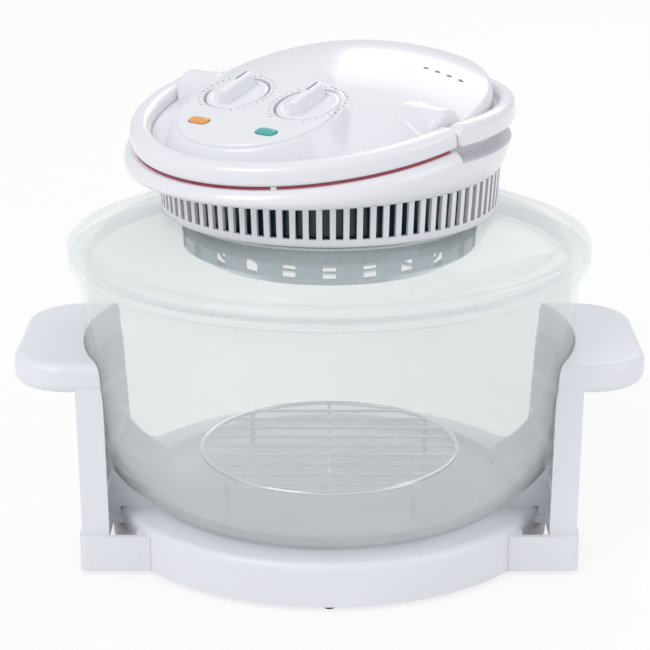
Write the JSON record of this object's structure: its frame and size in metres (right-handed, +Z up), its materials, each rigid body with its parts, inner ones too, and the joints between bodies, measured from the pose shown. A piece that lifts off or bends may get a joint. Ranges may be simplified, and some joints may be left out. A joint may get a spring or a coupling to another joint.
{
  "type": "halogen oven",
  "caption": "Countertop halogen oven: glass bowl on a plastic stand with side handles, domed glass lid and tilted heating head with knobs and a folding bail handle.",
  "frame": {"origin": "on the bowl's axis at the floor, under the middle of the stand", "axes": "+Z up, -Y towards the front of the stand, +X towards the right side handle"},
  "size_m": [0.4, 0.335, 0.315],
  "materials": {
    "white_plastic": "glossy cool-white moulding",
    "foot_rubber": "matt dark rubber",
    "zinc_steel": "zinc-plated steel",
    "clear_glass": "clear heat-resistant glass",
    "chrome_wire": "bright chromed wire",
    "silicone": "pale silicone",
    "polished_steel": "polished stainless steel",
    "seam_red": "dull maroon strip",
    "dark_plastic": "dark moulded plastic",
    "orange_lens": "translucent orange",
    "green_lens": "translucent green",
    "lamp_glass": "quartz glass",
    "motor_steel": "varnished laminations",
    "bronze": "sintered bronze",
    "ceramic": "unglazed ceramic",
    "aluminium": "pressed sheet"
  },
  "bodies": {
    "stand": {"stand_base": "white_plastic", "bowl_shelf": "white_plastic", "stand_feet": "foot_rubber", "right_post": "white_plastic", "left_post": "white_plastic", "stand_screws": "zinc_steel"},
    "bowl": {"glass_bowl": "clear_glass"},
    "rack": {"low_rack": "chrome_wire"},
    "lid_head": {"glass_lid": "clear_glass", "glass_seal": "silicone", "clamp_ring": "polished_steel", "vent_housing": "white_plastic", "seam_band": "seam_red", "dome_cover": "white_plastic", "control_panel": "white_plastic", "timer_unit": "dark_plastic", "thermostat_unit": "dark_plastic", "orange_lens": "orange_lens", "green_lens": "green_lens", "indicator_lamps": "lamp_glass", "safety_switch": "dark_plastic", "motor_stator": "motor_steel", "shaft_bearings": "bronze", "motor_bracket": "zinc_steel", "lamp_dish": "polished_steel", "heat_shield": "zinc_steel", "dish_screws": "zinc_steel", "cover_screws": "zinc_steel", "halogen_lamp": "lamp_glass", "lamp_holders": "ceramic", "lamp_guard": "chrome_wire", "thermal_cutout": "dark_plastic", "terminal_block": "dark_plastic", "cord_gland": "white_plastic"},
    "handle": {"carry_handle": "white_plastic", "handle_pivot_pins": "zinc_steel"},
    "switch_plunger": {"switch_plunger": "dark_plastic"},
    "timer_knob": {"timer_knob": "white_plastic"},
    "temperature_knob": {"temperature_knob": "white_plastic"},
    "rotor": {"motor_shaft": "zinc_steel", "cooling_fan": "aluminium", "convection_fan": "aluminium", "fan_nut": "zinc_steel"}
  },
  "joints": [
    {"name": "bowl_lift", "type": "slide", "parent": "stand", "child": "bowl", "axis": [0, 0, 1], "range_m": [0, 0.12]},
    {"name": "rack_lift", "type": "slide", "parent": "bowl", "child": "rack", "axis": [0, 0, 1], "range_m": [0, 0.1]},
    {"name": "lid_lift", "type": "slide", "parent": "bowl", "child": "lid_head", "axis": [0, 0, 1], "range_m": [0, 0.15]},
    {"name": "handle_fold", "type": "hinge", "parent": "lid_head", "child": "handle", "pos_m": [-0.01034, -0.01348, 0.28066], "axis": [0.7934, -0.6088, 0], "range_deg": [0, 90]},
    {"name": "switch_press", "type": "slide", "parent": "lid_head", "child": "switch_plunger", "axis": [-0.0931, -0.1214, 0.9882], "range_m": [0, 0.0026]},
    {"name": "timer_turn", "type": "hinge", "parent": "lid_head", "child": "timer_knob", "pos_m": [-0.0567, -0.02872, 0.29523], "axis": [0.1658, 0.216, -0.9622], "range_deg": [0, 300]},
    {"name": "temperature_turn", "type": "hinge", "parent": "lid_head", "child": "temperature_knob", "pos_m": [-0.01307, -0.0622, 0.29523], "axis": [0.1658, 0.216, -0.9622], "range_deg": [0, 270]},
    {"name": "rotor_spin", "type": "hinge", "parent": "lid_head", "child": "rotor", "pos_m": [0, 0, 0.23], "axis": [0, 0, 1], "continuous": true}
  ],
  "couplings": [
    {"joint": "switch_press", "follows": "handle_fold", "m_per_rad": 0.0015915}
  ]
}
